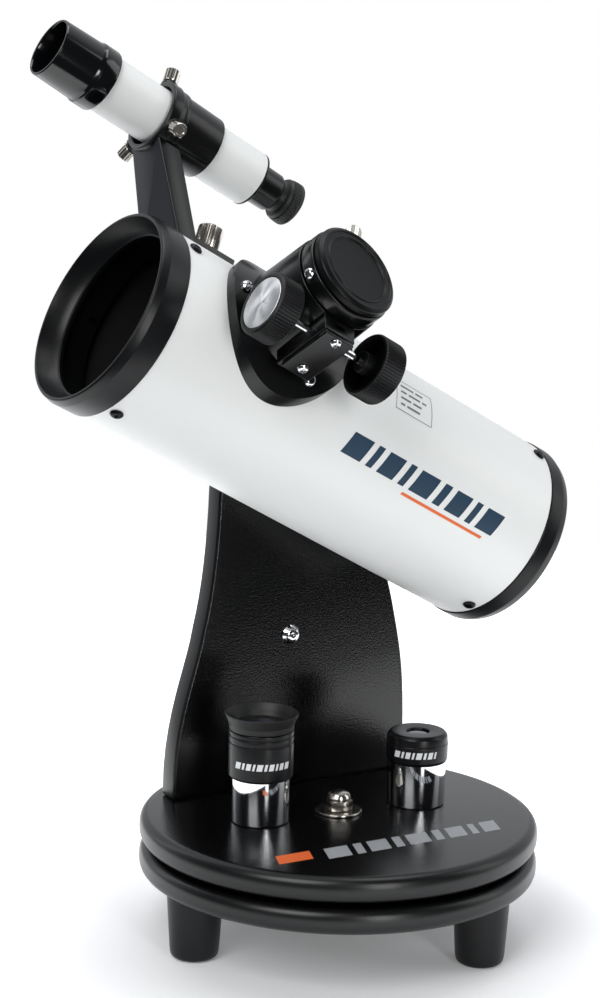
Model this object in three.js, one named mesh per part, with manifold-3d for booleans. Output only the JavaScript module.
// Tabletop newtonian reflector telescope on a single-arm rocker base.
// Millimetres, +Z up. The open end of the tube points towards -X and up, and the arm stands on the +Y side.
import * as THREE from 'three';
import { mergeVertices } from 'three/addons/utils/BufferGeometryUtils.js';
import Module from 'manifold-3d';

const wasm = await Module();
wasm.setup();

// ---- driving dimensions -------------------------------------------------------------------------

const GAP = 0.3; // clearance kept between pieces that touch

// rocker base
const BOARD_R = 107.5;
const BOARD_T = 14;
const BOARD_EDGE_R = 6;
const BOARD_SPACE = 2.8;
const FOOT_H = 36;
const FOOT_TOP_R = 15;
const FOOT_TIP_R = 12.3;
const FOOT_RING_R = 87;
const FOOT_ANGLES = { left: 180, front: 300, back: 60 };
const M8_R = 4;
const WASHER_TOP = 1.5; // above the top board
const AZIMUTH_BOLT_TOP = 8; // above the top board
const ARM_Y = 55; // front face of the arm
const ARM_T = 14;
const ARM_SCREW_Z = 86.4; // above the top board

// pose and place of the optical tube
const ALTITUDE = 28.6; // degrees above the horizon at rest
const TUBE_Y = -6;
const PIVOT_ABOVE_BOARD = 198.1;

// optical tube: distances along the tube are from the altitude axis, positive towards the open end
const TUBE_R = 51;
const TUBE_WALL = 1.2;
const TUBE_FRONT = 153.4;
const TUBE_REAR = -95.5;
const RING_FRONT = 170.5;
const CELL_REAR = -110.6;
const TUBE_SIDES = 40; // facets round the main tube and its end pieces
const SPIGOT_R = TUBE_R - TUBE_WALL - GAP;
const TUBE_SCREW_INSET = 5.1;
const TUBE_SCREW_ANGLES = { upper: 28.5, lower: 149, arm_side: 268.5 };

// mirrors: 76 mm spherical primary of 300 mm focal length, 28 mm flat
const PRIMARY_R = 38;
const PRIMARY_T = 9.6;
const PRIMARY_CURVE_R = 600;
const FLAT_MINOR_R = 14;
const FLAT_T = 5;

// focuser: heights are distances from the tube axis along the focuser axis
const FOCUSER_S = 92.4;
const FOCUSER_ANGLE = 48.5;
const FLANGE_R = 38.5;
const FLANGE_OUT = 57;
const HOUSING_R = 25.6;
const TUBE_HOLE_R = 25.2; // hole in the main tube under the focuser
const HOUSING_OUT = 89;
const DRAWTUBE_R = 18.5;
const DRAWTUBE_BORE_R = 16.2;
const DRAWTUBE_IN = 41;
const COLLAR_OUT = 97.4;
const COLLAR_R = 25;
const CAP_R = 24.2;
const CAP_OUT = 103.2;
const GEAR_MODULE = 0.75;
const PINION_TEETH = 12;
const PINION_PITCH_R = (GEAR_MODULE * PINION_TEETH) / 2;
const RACK_SHIFT = (Math.PI * GEAR_MODULE) / 2; // half a pitch: a rack gap faces a pinion tooth at rest
const SHAFT_T = 28.5; // pinion shaft from the focuser axis, towards the user's side
const SHAFT_OUT = 78;
const SHAFT_R = 2;
const KNOB_R = 16.4;
const KNOB_DISC_R = 13.3;
const KNOB_IN = 26.5;
const KNOB_OUT = 39.5;

// 5x24 finder
const FINDER_ANGLE = -20;
const FINDER_OUT = 108.9;
const FINDER_TILT = 1.1; // degrees, the finder's aim against the main tube
const FINDER_PIVOT_S = 150;
const FINDER_TUBE_R = 14.6;
const BRACKET_S = [136.5, 177.4];
const SHOE_S = [108, 150];
const SHOE_HALF_W = 10;
const SHOE_OUT = 56.3;
const STEM_HALF_W = 9.5;
const BRACKET_BORE_R = 15.9;
const FINDER_NUT_S = 120.9;
const FINDER_SCREW_S = 168;
const FINDER_SCREW_ANGLES = { top: 0, near: 120, far: -120 };

// eyepieces of the 1.25 inch size
const BARREL_R = 15.875;
const BARREL_H = 24;

const RAD = Math.PI / 180;
const BOTTOM_BOARD_Z = FOOT_H;
const TOP_BOARD_Z = FOOT_H + BOARD_T + BOARD_SPACE;
const DECK_Z = TOP_BOARD_Z + BOARD_T;
const PIVOT = new THREE.Vector3(0, TUBE_Y, DECK_Z + PIVOT_ABOVE_BOARD);

// ---- materials ----------------------------------------------------------------------------------

const finishes = {
  white_paint: [0xe9eaeb, 0.35, 0],
  black_plastic: [0x2a2b2e, 0.5, 0],
  grey_plastic: [0x4b4d52, 0.5, 0],
  black_vinyl: [0x2e2f33, 0.75, 0],
  rubber: [0x202124, 0.8, 0],
  chrome: [0xd8d8d8, 0.15, 1],
  black_screw: [0x1c1c1e, 0.4, 0.6],
  spun_aluminium: [0xd9dbe0, 0.3, 1],
  nylon: [0xe4e2da, 0.6, 0],
  black_anodised: [0x191a1c, 0.6, 0.5],
  glass: [0xa8c0c8, 0.05, 0],
  mirror: [0xe6e8ea, 0.04, 1],
};

function finish(name) {
  const [color, roughness, metalness] = finishes[name];
  return new THREE.MeshStandardMaterial({ color, roughness, metalness });
}

function piece(parent, name, geometry, look) {
  const mesh = new THREE.Mesh(geometry, finish(look));
  mesh.name = name;
  parent.add(mesh);
  return mesh;
}

// ---- shape helpers ------------------------------------------------------------------------------

function arc(cx, cy, r, from, to, steps) {
  const points = [];
  for (let i = 0; i <= steps; i++) {
    const a = (from + ((to - from) * i) / steps) * RAD;
    points.push([cx + r * Math.cos(a), cy + r * Math.sin(a)]);
  }
  return points;
}

// a turned piece about Z from a [radius, z] profile that runs from the axis, or closes on itself
function turned(profile, segments = 28) {
  const points = profile.map(([r, z]) => new THREE.Vector2(r, z));
  return outward(new THREE.LatheGeometry(points, segments).rotateX(90 * RAD));
}

function turnedRing(profile, segments = 28) {
  return turned([...profile, profile[0]], segments);
}

function rod(r, z0, z1, segments = 16) {
  return turned([[0, z0], [r, z0], [r, z1], [0, z1]], segments);
}

function tube(rOut, rIn, z0, z1, segments = 28) {
  return turnedRing([[rIn, z0], [rOut, z0], [rOut, z1], [rIn, z1]], segments);
}

function plate(outline, z0, z1, curveSegments = 12) {
  const options = { depth: z1 - z0, bevelEnabled: false, curveSegments };
  return outward(new THREE.ExtrudeGeometry(outline, options).translate(0, 0, z0));
}

function polygon(points) {
  return new THREE.Shape(points.map(([x, y]) => new THREE.Vector2(x, y)));
}

function block(x0, x1, y0, y1, z0, z1) {
  const box = new THREE.BoxGeometry(x1 - x0, y1 - y0, z1 - z0);
  return box.translate((x0 + x1) / 2, (y0 + y1) / 2, (z0 + z1) / 2);
}

function merged(geometry) {
  const bare = geometry.clone();
  bare.deleteAttribute('normal');
  bare.deleteAttribute('uv');
  return mergeVertices(bare, 1e-4);
}

// shared vertices, no face of zero area, and every face turned outwards
function outward(geometry) {
  const solid = merged(geometry);
  const old = solid.getIndex().array;
  const index = [];
  for (let i = 0; i < old.length; i += 3) {
    const [a, b, c] = [old[i], old[i + 1], old[i + 2]];
    if (a !== b && b !== c && c !== a) index.push(a, b, c);
  }
  const p = solid.getAttribute('position');
  const [u, v, w] = [new THREE.Vector3(), new THREE.Vector3(), new THREE.Vector3()];
  let volume = 0;
  for (let i = 0; i < index.length; i += 3) {
    u.fromBufferAttribute(p, index[i]);
    v.fromBufferAttribute(p, index[i + 1]);
    w.fromBufferAttribute(p, index[i + 2]);
    volume += u.dot(v.cross(w));
  }
  solid.setIndex(volume < 0 ? index.reverse() : index);
  return solid;
}

function toSolid(geometry) {
  const mesh = outward(geometry);
  const vertProperties = new Float32Array(mesh.getAttribute('position').array);
  const triVerts = new Uint32Array(mesh.getIndex().array);
  return new wasm.Manifold(new wasm.Mesh({ numProp: 3, vertProperties, triVerts }));
}

function fromSolid(solid) {
  const { vertProperties, triVerts } = solid.getMesh();
  const geometry = new THREE.BufferGeometry();
  geometry.setAttribute('position', new THREE.BufferAttribute(new Float32Array(vertProperties), 3));
  geometry.setIndex([...triVerts]);
  return geometry;
}

// the first list joined into one body, with the second list cut away from it
function carve(joined, cuts = []) {
  let solid = toSolid(joined[0]);
  for (const extra of joined.slice(1)) solid = solid.add(toSolid(extra));
  for (const cut of cuts) solid = solid.subtract(toSolid(cut));
  return fromSolid(solid);
}

// what two shapes have in common
function shared(a, b) {
  return fromSolid(toSolid(a).intersect(toSolid(b)));
}

// ---- frames -------------------------------------------------------------------------------------

// In the tube group local Z runs to the open end, X up and Y to the arm. Angles about the tube start at X
// and grow towards the user's side, -Y. In a radial group X runs along the tube, Y sideways round it and
// Z outwards.
function radialMatrix(s, angle) {
  const out = new THREE.Vector3(Math.cos(angle * RAD), -Math.sin(angle * RAD), 0);
  const side = new THREE.Vector3(-Math.sin(angle * RAD), -Math.cos(angle * RAD), 0);
  const along = new THREE.Vector3(0, 0, 1);
  return new THREE.Matrix4().makeBasis(along, side, out).setPosition(0, 0, s);
}

function placed(group, matrix) {
  matrix.decompose(group.position, group.quaternion, group.scale);
  return group;
}

function radialGroup(s, angle) {
  return placed(new THREE.Group(), radialMatrix(s, angle));
}

// a shape given in a radial group's frame, moved into the tube's frame
function inTube(geometry, s, angle) {
  return geometry.clone().applyMatrix4(radialMatrix(s, angle));
}

// a shape given in the tube's frame, moved into a radial group's frame
function inRadial(geometry, s, angle) {
  return geometry.clone().applyMatrix4(radialMatrix(s, angle).invert());
}

function tubeBody(r, s0, s1, segments = TUBE_SIDES) {
  return rod(r, s0, s1, segments);
}

// ---- base ---------------------------------------------------------------------------------------

function boardProfile(z) {
  const inner = BOARD_R - BOARD_EDGE_R;
  return [
    [0, z],
    ...arc(inner, z + BOARD_EDGE_R, BOARD_EDGE_R, -90, 0, 3),
    ...arc(inner, z + BOARD_T - BOARD_EDGE_R, BOARD_EDGE_R, 0, 90, 3),
    [0, z + BOARD_T],
  ];
}

function board(z) {
  return carve([turned(boardProfile(z), 44)], [rod(M8_R + 0.5, z - 5, z + BOARD_T + 5, 12)]);
}

function foot(angle) {
  const tip = 3.5;
  const profile = [
    [0, 0],
    ...arc(FOOT_TIP_R - tip, tip, tip, -90, 0, 3),
    [FOOT_TOP_R, FOOT_H],
    [0, FOOT_H],
  ];
  const [x, y] = [FOOT_RING_R * Math.cos(angle * RAD), FOOT_RING_R * Math.sin(angle * RAD)];
  return turned(profile, 20).translate(x, y, 0);
}

function azimuthBolt() {
  const [headR, headH] = [7.5, 6];
  const head = rod(headR, BOTTOM_BOARD_Z - headH, BOTTOM_BOARD_Z, 6);
  return carve([head, rod(M8_R, BOTTOM_BOARD_Z - 1, DECK_Z + AZIMUTH_BOLT_TOP, 16)]);
}

// cap nut: a hexagon with a dome over it, blind above the bolt
function azimuthNut() {
  const z = DECK_Z + WASHER_TOP + GAP / 3;
  const [hexagonR, hexagonH, domeR, domeH] = [7.6, 4, 6.3, 5.1];
  const hexagon = rod(hexagonR, z, z + hexagonH, 6);
  const cap = arc(0, 0, 1, 0, 90, 5).map(([x, y]) => [domeR * x, z + hexagonH + domeH * y]);
  const dome = turned([[0, z], [domeR, z], ...cap], 20);
  return carve([hexagon, dome], [rod(M8_R + GAP, z - 1, DECK_Z + AZIMUTH_BOLT_TOP + GAP, 16)]);
}

// the arm's outline in the X, Z plane above the deck: a wide foot, waisted sides and a round top
function armOutline() {
  const [topR, topX, z] = [46.5, 0.5, PIVOT_ABOVE_BOARD];
  const shape = new THREE.Shape();
  shape.moveTo(-72.3, 0);
  shape.lineTo(76.5, 0);
  shape.bezierCurveTo(76.5, 58, 73.5, 68, 66.8, 97);
  shape.bezierCurveTo(60.5, 124, topX + topR, 150, topX + topR, z);
  shape.absarc(topX, z, topR, 0, Math.PI, false);
  shape.bezierCurveTo(topX - topR, 150, -49, 118, -55.2, 93.4);
  shape.bezierCurveTo(-59, 70, -72.3, 46, -72.3, 0);
  return shape;
}

function sideArm() {
  const slab = plate(armOutline(), 0, ARM_T, 10);
  const upright = slab.rotateX(90 * RAD).translate(0, ARM_Y + ARM_T, DECK_Z);
  const pivotHole = rod(M8_R + 0.6, ARM_Y - 5, ARM_Y + ARM_T + 5, 16);
  const screwHole = rod(3.1, ARM_Y - 5, ARM_Y + ARM_T + 5, 12);
  return carve([upright], [
    pivotHole.rotateX(-90 * RAD).translate(0, 0, PIVOT.z),
    screwHole.rotateX(-90 * RAD).translate(0, 0, DECK_Z + ARM_SCREW_Z),
  ]);
}

// dome-headed furniture bolt in the arm, its head towards -Z before it is turned into place
function armBolt() {
  const [headR, headH, shankR, length] = [5.6, 3.64, 2.7, 8];
  const cap = arc(0, 0, 1, 0, -90, 4).map(([x, y]) => [headR * x, headH * y - GAP]);
  const head = turned([[0, 0], [shankR, 0], [shankR, -GAP], ...cap], 20);
  const bolt = carve([head, rod(shankR, -1, length, 12)]);
  return bolt.rotateX(-90 * RAD).translate(0, ARM_Y, DECK_Z + ARM_SCREW_Z);
}

function addBase(parent) {
  piece(parent, 'bottom_board', board(BOTTOM_BOARD_Z), 'black_vinyl');
  for (const [place, angle] of Object.entries(FOOT_ANGLES)) {
    piece(parent, `foot_${place}`, foot(angle), 'black_plastic');
  }
  const glideZ = BOTTOM_BOARD_Z + BOARD_T;
  piece(parent, 'glide_disc', tube(62, 22, glideZ + GAP, glideZ + BOARD_SPACE - GAP, 32), 'nylon');
  piece(parent, 'azimuth_bolt', azimuthBolt(), 'chrome');
  const washer = tube(12.5, M8_R + GAP, DECK_Z + GAP / 2, DECK_Z + WASHER_TOP, 20);
  piece(parent, 'azimuth_washer', washer, 'chrome');
  piece(parent, 'azimuth_nut', azimuthNut(), 'chrome');
  piece(parent, 'top_board', board(TOP_BOARD_Z), 'black_vinyl');
  piece(parent, 'side_arm', sideArm(), 'black_vinyl');
  piece(parent, 'arm_bolt', armBolt(), 'chrome');
}

// ---- altitude pivot, along local +Y of the tube group -------------------------------------------

const PIVOT_Y = { hub: ARM_Y - TUBE_Y - 1.8, arm: ARM_Y - TUBE_Y, back: ARM_Y - TUBE_Y + ARM_T };

function alongY(geometry) {
  return geometry.rotateX(-90 * RAD);
}

function altitudeHub() {
  const [r, chamfer] = [32, 2];
  const body = alongY(turned([
    [0, 30],
    [r, 30],
    [r, PIVOT_Y.hub - chamfer],
    [r - chamfer, PIVOT_Y.hub],
    [0, PIVOT_Y.hub],
  ], 36));
  const boltHole = alongY(rod(M8_R + GAP, 53, PIVOT_Y.hub + 5, 16));
  return carve([body], [tubeBody(TUBE_R + GAP, -60, 60), boltHole]);
}

// hand knob with a boss below and a lobed grip
function altitudeKnob() {
  const [r, z, lobes, lobeDepth, steps] = [21, PIVOT_Y.back + 2.2, 8, 1.6, 48];
  const outline = [];
  for (let i = 0; i < steps; i++) {
    const a = (i / steps) * 2 * Math.PI;
    const radius = r - lobeDepth + lobeDepth * Math.cos(lobes * a);
    outline.push([radius * Math.cos(a), radius * Math.sin(a)]);
  }
  const grip = plate(polygon(outline), z + 5, z + 18);
  const boss = rod(10, z, z + 6, 24);
  return alongY(carve([grip, boss], [rod(M8_R + GAP, z - 1, z + 13, 16)]));
}

function addPivot(parent) {
  piece(parent, 'altitude_hub', altitudeHub(), 'black_plastic');
  piece(parent, 'altitude_bolt', alongY(rod(M8_R, 53.5, PIVOT_Y.back + 14, 16)), 'chrome');
  const inner = alongY(tube(26, M8_R + GAP, PIVOT_Y.hub + GAP, PIVOT_Y.arm - GAP, 32));
  piece(parent, 'altitude_friction_washer', inner, 'nylon');
  const outer = alongY(tube(13, M8_R + GAP, PIVOT_Y.back + GAP, PIVOT_Y.back + 1.9, 28));
  piece(parent, 'altitude_outer_washer', outer, 'chrome');
  piece(parent, 'altitude_knob', altitudeKnob(), 'black_plastic');
}

// ---- optical tube -------------------------------------------------------------------------------

const SCREW_REACH = [43.6, TUBE_R + GAP / 2];

function radialHole(r, from, to, s, angle, segments = 8) {
  return inTube(rod(r, from, to, segments), s, angle);
}

function endScrewHoles(s) {
  return Object.values(TUBE_SCREW_ANGLES).map((angle) => radialHole(1.8, 40, 60, s, angle));
}

function opticalTube() {
  const shell = tube(TUBE_R, TUBE_R - TUBE_WALL, TUBE_REAR, TUBE_FRONT, TUBE_SIDES);
  const flangeHoles = FLANGE_SCREWS.map(([a, t]) => rod(2, 35, 70, 10).translate(a, t, 0));
  return carve([shell], [
    ...endScrewHoles(TUBE_FRONT - TUBE_SCREW_INSET),
    ...endScrewHoles(TUBE_REAR + TUBE_SCREW_INSET),
    ...flangeHoles.map((hole) => inTube(hole, FOCUSER_S, FOCUSER_ANGLE)),
    radialHole(TUBE_HOLE_R, 30, 60, FOCUSER_S, FOCUSER_ANGLE, 28),
    radialHole(2.6, 40, 60, FINDER_NUT_S, FINDER_ANGLE),
    radialHole(M8_R + 1, 40, 60, 0, -90, 16),
  ]);
}

function frontRing() {
  const lip = TUBE_FRONT + GAP;
  const profile = [
    [SPIGOT_R, lip - 11],
    [SPIGOT_R, lip],
    [51.6, lip],
    [51.9, RING_FRONT - 4],
    [50.6, RING_FRONT],
    [49.2, RING_FRONT],
    [43.6, 160.4],
    [43.6, 158.4],
    [46.8, 157],
    [46.8, lip - 11],
  ];
  return carve([turnedRing(profile, TUBE_SIDES)], endScrewHoles(TUBE_FRONT - TUBE_SCREW_INSET));
}

function rearCell() {
  const lip = TUBE_REAR - GAP;
  const seat = CELL_REAR + 6.3;
  const profile = [
    [0, CELL_REAR + 3],
    [30, CELL_REAR + 3],
    [30, seat],
    [38.8, seat],
    [38.8, seat + 6],
    [41.5, seat + 6],
    [41.5, CELL_REAR + 3],
    [46.8, CELL_REAR + 3],
    [46.8, lip + 11],
    [SPIGOT_R, lip + 11],
    [SPIGOT_R, lip],
    [51.6, lip],
    [51.7, CELL_REAR + 7],
    [50.2, CELL_REAR + 2],
    [46, CELL_REAR],
    [0, CELL_REAR],
  ];
  return carve([turned(profile, TUBE_SIDES)], endScrewHoles(TUBE_REAR + TUBE_SCREW_INSET));
}

function panScrew(shankR, headR, from, to, headH) {
  return turned([
    [0, from],
    [shankR, from],
    [shankR, to],
    [headR, to],
    [headR * 0.75, to + headH],
    [0, to + headH],
  ], 10);
}

function addEndScrews(parent) {
  const ends = { ring: TUBE_FRONT - TUBE_SCREW_INSET, cell: TUBE_REAR + TUBE_SCREW_INSET };
  for (const [end, s] of Object.entries(ends)) {
    for (const [place, angle] of Object.entries(TUBE_SCREW_ANGLES)) {
      const group = radialGroup(s, angle);
      parent.add(group);
      piece(group, `${end}_screw_${place}`, panScrew(1.4, 3.4, ...SCREW_REACH, 2), 'black_screw');
    }
  }
}

function primaryMirror() {
  const back = CELL_REAR + 6.3 + GAP;
  const edge = back + PRIMARY_T;
  const face = [1, 0.75, 0.5, 0.25, 0].map((k) => {
    const r = PRIMARY_R * k;
    return [r, edge - (PRIMARY_R ** 2 - r ** 2) / (2 * PRIMARY_CURVE_R)];
  });
  return turned([[0, back], [PRIMARY_R, back], ...face], 36);
}

// a thick slice between two planes at 45 degrees to the tube's axis, facing the focuser
function diagonalSlab(near, far) {
  const big = 60;
  const slab = block(near, far, -big, big, -big, big);
  return inTube(slab.rotateY(45 * RAD), FOCUSER_S, FOCUSER_ANGLE);
}

function secondaryMirror() {
  const rodOfGlass = tubeBody(FLAT_MINOR_R, FOCUSER_S - 40, FOCUSER_S + 40, 36);
  return shared(rodOfGlass, diagonalSlab(0, FLAT_T));
}

const SPIDER_S = [117, 126];

function secondaryHolder() {
  const body = tubeBody(FLAT_MINOR_R - 0.5, FOCUSER_S - 40, SPIDER_S[0] - 3, 32);
  const behindFlat = shared(body, diagonalSlab(FLAT_T + GAP, 80));
  return carve([behindFlat, rod(2.5, SPIDER_S[0] - 5, SPIDER_S[1] + 3, 12)]);
}

function spider() {
  const tips = 48.9;
  const vanes = [];
  for (const turn of [60, 180, 300]) {
    const vane = block(-4.5, 4.5, -0.7, 0.7, 5, tips);
    const tab = block(-4.5, 4.5, -4, 4, tips - 1.6, tips);
    const middle = (SPIDER_S[0] + SPIDER_S[1]) / 2;
    vanes.push(inTube(vane, middle, FOCUSER_ANGLE + turn), inTube(tab, middle, FOCUSER_ANGLE + turn));
  }
  const hub = rod(8, SPIDER_S[0], SPIDER_S[1], 24);
  return carve([hub, ...vanes], [rod(2.5 + GAP, SPIDER_S[0] - 1, SPIDER_S[1] + 1, 12)]);
}

function addOptics(parent) {
  piece(parent, 'optical_tube', opticalTube(), 'white_paint');
  piece(parent, 'front_ring', frontRing(), 'black_plastic');
  piece(parent, 'rear_cell', rearCell(), 'black_plastic');
  addEndScrews(parent);
  piece(parent, 'primary_mirror', primaryMirror(), 'mirror');
  piece(parent, 'secondary_mirror', secondaryMirror(), 'mirror');
  piece(parent, 'secondary_holder', secondaryHolder(), 'black_plastic');
  piece(parent, 'spider', spider(), 'black_anodised');
}

// ---- focuser: X along the tube, Y to the user's side, Z outwards from the tube axis -------------

const FLANGE_SCREW_R = 31;
const FLANGE_SCREWS = [-3, 119, 238].map((angle) => [
  FLANGE_SCREW_R * Math.cos(angle * RAD),
  FLANGE_SCREW_R * Math.sin(angle * RAD),
]);
const TAB_HALF_W = 9.5;
const TAB_FACE = 33.5;
const TAB_IN = 54;
const COVER_SCREWS_OUT = { outer: 86, inner: 62.4 };
const GEAR_SPACE_R = 6;

function tubeInFocuser(r) {
  return inRadial(tubeBody(r, 0, 200), FOCUSER_S, FOCUSER_ANGLE);
}

// a turned shape about X, the direction of the pinion shaft
function alongX(geometry) {
  return geometry.rotateY(90 * RAD);
}

// height of the flange's curved top at a distance to the side of the focuser's axis
function flangeFace(t) {
  return Math.sqrt(FLANGE_OUT ** 2 - t ** 2);
}

// holes through the pinion's housing and its cover for the two cover screws
function coverScrewHoles(r) {
  const hole = rod(r, 20, 40, 10).rotateX(-90 * RAD);
  return Object.values(COVER_SCREWS_OUT).map((z) => hole.clone().translate(0, 0, z));
}

function focuserHousing() {
  const saddle = shared(rod(FLANGE_R, 25, 70, 36), tubeInFocuser(FLANGE_OUT));
  const barrel = turned([[0, 40], [HOUSING_R + 1.2, 40], [HOUSING_R, HOUSING_OUT], [0, HOUSING_OUT]], 36);
  const tab = block(-TAB_HALF_W, TAB_HALF_W, 10, TAB_FACE, TAB_IN - 8, HOUSING_OUT);
  const slot = 4.6; // half width of the rack's slot
  return carve([saddle, barrel, tab], [
    tubeInFocuser(TUBE_R + GAP),
    rod(DRAWTUBE_R + 0.7, 20, 100, 28),
    block(-slot, slot, 10, 25.6, 20, 100),
    block(-slot, slot, 20, TAB_FACE + 2, SHAFT_OUT - GEAR_SPACE_R, SHAFT_OUT + GEAR_SPACE_R),
    alongX(rod(SHAFT_R + 0.35, -30, 30, 16)).translate(0, SHAFT_T, SHAFT_OUT),
    ...coverScrewHoles(1.4),
    ...FLANGE_SCREWS.flatMap(([a, t]) => [
      rod(2, 20, 80, 10).translate(a, t, 0),
      rod(3.6, flangeFace(t), 80, 16).translate(a, t, 0),
    ]),
  ]);
}

// straight-sided teeth: half widths at the root and at the tip, and the height between them
const TOOTH = { root: 0.62, tip: 0.26, out: 0.62, in: 0.85 };

function rackTeeth() {
  const pitch = Math.PI * GEAR_MODULE;
  const [floor, pitchLine] = [DRAWTUBE_R - 1, SHAFT_T - PINION_PITCH_R];
  const [count, belowShaft, halfWidth] = [18, 15.5, 4];
  const start = SHAFT_OUT + RACK_SHIFT - belowShaft * pitch;
  const outline = [[start, floor]];
  for (let i = 0; i < count; i++) {
    const z = start + (i + 0.5) * pitch;
    outline.push([z - TOOTH.root, pitchLine - TOOTH.in]);
    outline.push([z - TOOTH.tip, pitchLine + TOOTH.out]);
    outline.push([z + TOOTH.tip, pitchLine + TOOTH.out]);
    outline.push([z + TOOTH.root, pitchLine - TOOTH.in]);
  }
  outline.push([start + count * pitch, floor]);
  return plate(polygon(outline), -halfWidth, halfWidth).rotateY(-90 * RAD);
}

function drawtube() {
  const barrel = turned([
    [0, DRAWTUBE_IN],
    [DRAWTUBE_R, DRAWTUBE_IN],
    [DRAWTUBE_R, HOUSING_OUT + GAP],
    [COLLAR_R, HOUSING_OUT + GAP],
    [COLLAR_R, COLLAR_OUT],
    [0, COLLAR_OUT],
  ], 28);
  return carve([barrel, rackTeeth()], [
    rod(DRAWTUBE_BORE_R, 20, 120, 28),
    ...Object.values(COLLAR_SCREW_ANGLES).map((angle) => collarFrame(rod(1.9, 5, 40, 10), angle)),
  ]);
}

const COLLAR_MID = (HOUSING_OUT + COLLAR_OUT) / 2 + 0.2;
const COLLAR_SCREW_ANGLES = { eyepiece_thumbscrew: -100, collar_screw: 25 };

// a shape along Z moved to point sideways out of the collar
function collarFrame(geometry, angle) {
  return geometry.rotateY(90 * RAD).rotateZ(angle * RAD).translate(0, 0, COLLAR_MID);
}

function thumbscrew(shankR, from, headFrom, headTo, headR) {
  return turned([
    [0, from],
    [shankR, from],
    [shankR, headFrom],
    [headR - 0.5, headFrom],
    [headR, headFrom + 0.5],
    [headR, headTo - 0.5],
    [headR - 0.5, headTo],
    [0, headTo],
  ], 14);
}

// a turned shape about X moved out to the pinion shaft, facing the open end or, with side -1, the mirror
function onShaft(geometry, side = 1) {
  const lying = side > 0 ? alongX(geometry) : alongX(geometry).rotateZ(180 * RAD);
  return lying.translate(0, SHAFT_T, SHAFT_OUT);
}

function pinion() {
  const [footR, tipR] = [PINION_PITCH_R - TOOTH.in, PINION_PITCH_R + TOOTH.out];
  const outline = [];
  for (let i = 0; i < PINION_TEETH; i++) {
    const middle = (i / PINION_TEETH) * 2 * Math.PI;
    const corner = (r, half) => [r * Math.cos(middle + half / r), r * Math.sin(middle + half / r)];
    outline.push(corner(footR, -TOOTH.root), corner(tipR, -TOOTH.tip));
    outline.push(corner(tipR, TOOTH.tip), corner(footR, TOOTH.root));
  }
  const gear = plate(polygon(outline), -3.6, 3.6);
  return onShaft(carve([gear, rod(SHAFT_R, -KNOB_OUT + 1.5, KNOB_OUT - 1.5, 16)]));
}

// hollow knob, open on the side towards the housing, with a shallow recess outside for its disc
function knob(side) {
  const [boreR, bossR, recessR] = [SHAFT_R + GAP, 5.5, KNOB_DISC_R + 0.4];
  return onShaft(turnedRing([
    [boreR, KNOB_IN - 3],
    [bossR, KNOB_IN - 3],
    [bossR, KNOB_OUT - 4],
    [recessR, KNOB_OUT - 4],
    [recessR, KNOB_IN],
    [KNOB_R, KNOB_IN],
    [KNOB_R, KNOB_OUT - 1.5],
    [KNOB_R - 1.5, KNOB_OUT],
    [recessR, KNOB_OUT],
    [recessR, KNOB_OUT - 1],
    [boreR, KNOB_OUT - 1],
  ], 24), side);
}

function knobDisc(side) {
  const back = KNOB_OUT - 0.7;
  return onShaft(turned([
    [0, back],
    [KNOB_DISC_R, back],
    [KNOB_DISC_R, KNOB_OUT],
    [0, KNOB_OUT + 0.1],
  ], 24), side);
}

function pinionCover() {
  const [face, halfWidth, thickness] = [TAB_FACE + GAP, 8.6, 2.4];
  const slab = block(-halfWidth, halfWidth, face, face + thickness, TAB_IN + 2.6, HOUSING_OUT);
  return carve([slab], coverScrewHoles(1.5));
}

function dustCap() {
  const seat = COLLAR_OUT + GAP;
  const profile = [
    [0, seat - 7],
    [DRAWTUBE_BORE_R - 0.4, seat - 7],
    [DRAWTUBE_BORE_R - 0.4, seat],
    [CAP_R - 0.8, seat],
    [CAP_R, seat + 0.8],
    [CAP_R, CAP_OUT - 2],
    [CAP_R - 1.6, CAP_OUT - 0.2],
    [CAP_R - 3, CAP_OUT],
    [18.6, CAP_OUT],
    [17.8, CAP_OUT - 1],
    [0, CAP_OUT - 1],
  ];
  return turned(profile, 24);
}

function addFocuser(parent) {
  const focuser = radialGroup(FOCUSER_S, FOCUSER_ANGLE);
  parent.add(focuser);
  piece(focuser, 'focuser_housing', focuserHousing(), 'black_plastic');
  FLANGE_SCREWS.forEach(([a, t], i) => {
    const face = flangeFace(t) + GAP;
    const screw = panScrew(1.6, 3.2, face - 10, face, 2.4).translate(a, t, 0);
    piece(focuser, `flange_screw_${i + 1}`, screw, 'chrome');
  });
  piece(focuser, 'drawtube', drawtube(), 'black_plastic');
  const screwR = COLLAR_R + GAP;
  const collarScrews = {
    eyepiece_thumbscrew: thumbscrew(1.6, DRAWTUBE_BORE_R + 1, screwR + 1.5, screwR + 12, 4.2),
    collar_screw: panScrew(1.6, 2.7, DRAWTUBE_BORE_R + 1, screwR, 1.9),
  };
  for (const [name, screw] of Object.entries(collarScrews)) {
    piece(focuser, name, collarFrame(screw, COLLAR_SCREW_ANGLES[name]), 'chrome');
  }
  piece(focuser, 'pinion', pinion(), 'chrome');
  piece(focuser, 'knob_front', knob(1), 'black_plastic');
  piece(focuser, 'knob_rear', knob(-1), 'black_plastic');
  piece(focuser, 'knob_disc_front', knobDisc(1), 'spun_aluminium');
  piece(focuser, 'knob_disc_rear', knobDisc(-1), 'spun_aluminium');
  piece(focuser, 'pinion_cover', pinionCover(), 'black_plastic');
  for (const [place, z] of Object.entries(COVER_SCREWS_OUT)) {
    const screw = panScrew(1.1, 2.8, TAB_FACE - 6, TAB_FACE + GAP + 2.5, 1.7);
    piece(focuser, `cover_screw_${place}`, screw.rotateX(-90 * RAD).translate(0, 0, z), 'chrome');
  }
  piece(focuser, 'dust_cap', dustCap(), 'black_plastic');
}

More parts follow.
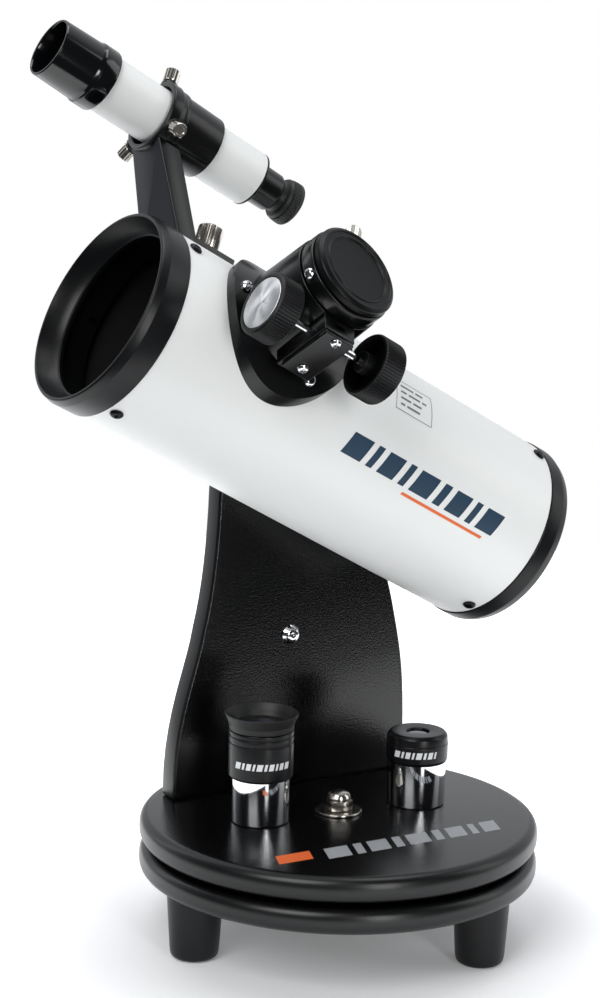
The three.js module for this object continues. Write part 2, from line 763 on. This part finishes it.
// ---- finder -------------------------------------------------------------------------------------

// Bracket: X along the tube, Y sideways, Z outwards. Its ring is turned about the finder's axis.
function aboutFinder(geometry) {
  return geometry.rotateY(90 * RAD).translate(0, 0, FINDER_OUT);
}

function finderBracket() {
  const [rear, front] = BRACKET_S;
  const ring = aboutFinder(turned([
    [0, rear],
    [16.8, rear],
    [17.2, front - 13],
    [18, front - 12],
    [18, front - 8],
    [19.2, front - 7],
    [19.2, front],
    [0, front],
  ], 24));
  const stemSide = polygon([[SHOE_S[1] - 16, 50], [SHOE_S[1] - 4, 50], [173.4, 98], [160, 98]]);
  const stem = plate(stemSide, -STEM_HALF_W, STEM_HALF_W);
  const shoe = block(...SHOE_S, -SHOE_HALF_W, SHOE_HALF_W, 44, SHOE_OUT);
  const bore = aboutFinder(rod(BRACKET_BORE_R, rear - 5, front + 5, 24));
  const mainTube = inRadial(tubeBody(TUBE_R + GAP, 0, 300), 0, FINDER_ANGLE);
  const nutHole = rod(2.4, 30, 70, 12).translate(FINDER_NUT_S, 0, 0);
  return carve([ring, stem.rotateX(90 * RAD), shoe], [
    bore,
    mainTube,
    nutHole,
    ...Object.values(FINDER_SCREW_ANGLES).map((angle) => finderScrewFrame(rod(1.8, 5, 30, 10), angle)),
  ]);
}

// a shape along Z moved to point out of the bracket's ring at an angle from straight outwards
function finderScrewFrame(geometry, angle) {
  return geometry.rotateX(-angle * RAD).translate(FINDER_SCREW_S, 0, FINDER_OUT);
}

function finderCell() {
  return turnedRing([
    [15, 204.6],
    [16.3, 204.6],
    [16.6, 206],
    [16.6, 213.6],
    [15.8, 215.2],
    [15.4, 236.6],
    [15, 237.4],
    [14.5, 237.4],
    [13.6, 222.4],
    [13.6, 217.4],
    [12.2, 217.4],
    [12.2, 214.6],
    [15, 214.6],
  ], 24);
}

function finderLens() {
  const [back, front, r, bulge] = [217.7, 222, 13.2, 1.2];
  const dome = [1, 0.7, 0.35, 0].map((k) => [r * k, front - bulge * k ** 2]);
  return turned([[0, back], [r, back], ...dome], 24);
}

function finderEyepiece() {
  return turnedRing([
    [13.3, 112],
    [13.3, 107.2],
    [14.6, 107.2],
    [14.6, 106.2],
    [10.4, 105.6],
    [10.3, 92.4],
    [9.6, 91.2],
    [8.3, 91.2],
    [8.3, 112],
  ], 20);
}

function finderEyecup() {
  return turnedRing([
    [4.5, 104],
    [4.5, 81.5],
    [7.5, 79],
    [11, 78.6],
    [11.9, 80.2],
    [11.6, 87.2],
    [9.2, 88.4],
    [8, 90],
    [8, 104],
  ], 20);
}

function addFinder(parent) {
  const base = radialGroup(0, FINDER_ANGLE);
  parent.add(base);
  piece(base, 'finder_bracket', finderBracket(), 'grey_plastic');
  const nut = thumbscrew(2.1, 46, SHOE_OUT + GAP, 70.4, 6.6).translate(FINDER_NUT_S, 0, 0);
  piece(base, 'finder_knurled_nut', nut, 'chrome');
  for (const [place, angle] of Object.entries(FINDER_SCREW_ANGLES)) {
    const screw = finderScrewFrame(thumbscrew(1.5, 16.6, 19.8, 26, 3.9), angle);
    piece(base, `finder_screw_${place}`, screw, 'chrome');
  }

  // the finder's own axis leans a little about a point inside the bracket's ring
  const aim = new THREE.Group();
  aim.position.set(FINDER_PIVOT_S, 0, FINDER_OUT);
  aim.rotation.y = -FINDER_TILT * RAD;
  base.add(aim);
  const finder = new THREE.Group();
  finder.rotation.y = 90 * RAD;
  finder.position.x = -FINDER_PIVOT_S;
  aim.add(finder);
  piece(finder, 'finder_tube', tube(FINDER_TUBE_R, FINDER_TUBE_R - 1, 107.5, 214.2, 24), 'white_paint');
  piece(finder, 'finder_objective_cell', finderCell(), 'black_plastic');
  piece(finder, 'finder_objective_lens', finderLens(), 'glass');
  piece(finder, 'finder_eyepiece', finderEyepiece(), 'black_plastic');
  piece(finder, 'finder_eyecup', finderEyecup(), 'rubber');
}

// ---- eyepieces standing on the deck -------------------------------------------------------------

function barrel() {
  return turned([
    [0, BARREL_H - 3],
    [14.2, BARREL_H - 3],
    [14.2, 0],
    [BARREL_R - 0.3, 0],
    [BARREL_R, 0.4],
    [BARREL_R, BARREL_H],
    [0, BARREL_H],
  ], 24);
}

function addEyepieces(parent) {
  const long = new THREE.Group();
  long.position.set(-45, 7, DECK_Z + GAP);
  parent.add(long);
  piece(long, 'eyepiece_long_barrel', barrel(), 'chrome');
  piece(long, 'eyepiece_long_body', turned([
    [0, BARREL_H + GAP],
    [17, BARREL_H + GAP],
    [17.4, BARREL_H + 1],
    [17.4, 49],
    [16.2, 50],
    [0, 50],
  ], 24), 'black_plastic');
  piece(long, 'eyepiece_long_eyecup', turned([
    [0, 50 + GAP],
    [17, 50 + GAP],
    [17.6, 53],
    [19.6, 58.7],
    [19, 59],
    [16.2, 52.6],
    [0, 52],
  ], 24), 'rubber');
  const short = new THREE.Group();
  short.position.set(47.2, -3.7, DECK_Z + GAP);
  parent.add(short);
  piece(short, 'eyepiece_short_barrel', barrel(), 'chrome');
  piece(short, 'eyepiece_short_body', turned([
    [0, BARREL_H + GAP],
    [16.2, BARREL_H + GAP],
    [16.8, BARREL_H + 1.4],
    [16.8, 38],
    [16.4, 41.5],
    [15.4, 43.2],
    [4.6, 44],
    [3.6, 42.6],
    [0, 42.6],
  ], 24), 'black_plastic');
}

// ---- assembly -----------------------------------------------------------------------------------

const assembly = new THREE.Group();
addBase(assembly);
addEyepieces(assembly);
const ota = new THREE.Group();
ota.position.copy(PIVOT);
ota.rotation.y = -(90 - ALTITUDE) * RAD;
assembly.add(ota);
addPivot(ota);
addOptics(ota);
addFocuser(ota);
addFinder(ota);

// origin at the middle of the bounding box's bottom
assembly.updateMatrixWorld(true);
const bounds = new THREE.Box3().setFromObject(assembly, true);
const centre = bounds.getCenter(new THREE.Vector3());
const telescope = new THREE.Group();
assembly.position.set(-centre.x, -centre.y, -bounds.min.z);
telescope.add(assembly);

export default telescope;
